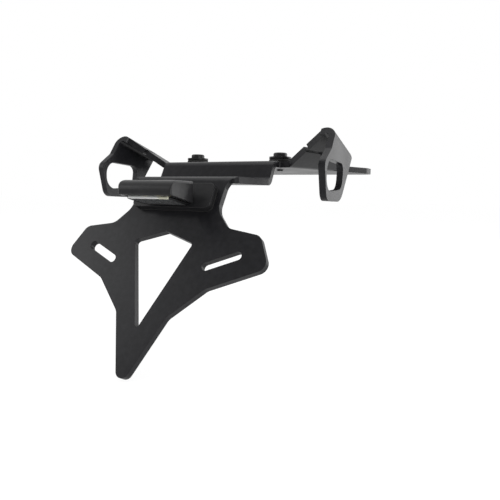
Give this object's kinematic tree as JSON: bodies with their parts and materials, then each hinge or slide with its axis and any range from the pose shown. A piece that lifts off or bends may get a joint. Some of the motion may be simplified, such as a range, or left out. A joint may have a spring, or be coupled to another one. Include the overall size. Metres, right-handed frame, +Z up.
{
  "type": "license plate holder",
  "caption": "Folded sheet tail bracket with an inclined number plate panel, two curled wings with indicator windows and a small plate lamp.",
  "frame": {"origin": "midway between the two bolt holes, on the top face of the main sheet", "axes": "+X to the right as seen from behind, +Y forward along the machine, +Z up out of the main sheet's top face"},
  "size_m": [0.206, 0.2433, 0.174],
  "materials": {
    "sheet": "satin black powder coat",
    "fastener": "black oxide",
    "rubber": "matte",
    "lamp_plastic": "satin",
    "lens": "clear moulded plastic",
    "board": "matte",
    "led": "gloss"
  },
  "bodies": {
    "root": {"bracket": "sheet", "bolt_left": "fastener", "bolt_right": "fastener", "washer_left": "fastener", "washer_right": "fastener", "cushion_left": "rubber", "cushion_right": "rubber", "lamp_seal": "rubber", "lamp_base": "lamp_plastic", "lamp_housing": "lamp_plastic", "lamp_lens": "lens", "lamp_board": "board", "lamp_leds": "led", "lamp_grommet": "rubber", "lamp_screw_left": "fastener", "lamp_screw_right": "fastener", "lamp_washer_left": "fastener", "lamp_washer_right": "fastener"}
  },
  "joints": []
}
